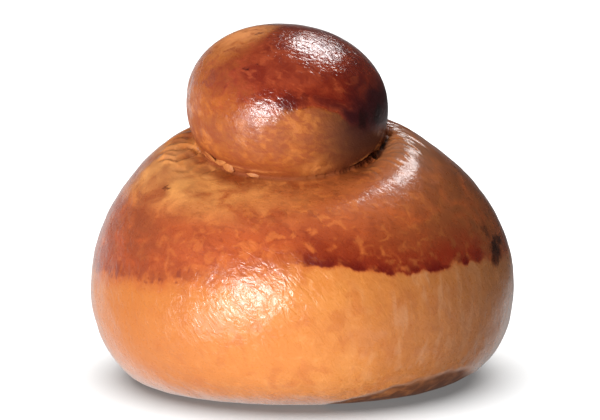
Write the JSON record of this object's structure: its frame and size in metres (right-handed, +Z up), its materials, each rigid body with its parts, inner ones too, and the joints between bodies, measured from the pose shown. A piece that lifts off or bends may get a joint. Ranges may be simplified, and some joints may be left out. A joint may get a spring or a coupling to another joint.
{
  "type": "brioche with topknot",
  "caption": "Small round brioche: a wide domed bun with a flat base and a smaller ball of dough seated in its crown, one baked piece with a brown egg-washed crust.",
  "frame": {"origin": "under the middle of the bun's outline, on the flat underside that it rests on", "axes": "+Z up through the bun towards the topknot; -Y towards the front that the picture shows; +X to the right as seen from the front"},
  "size_m": [0.1102, 0.106, 0.0933],
  "materials": {
    "crust": null
  },
  "bodies": {
    "root": {"brioche": "crust"}
  },
  "joints": []
}
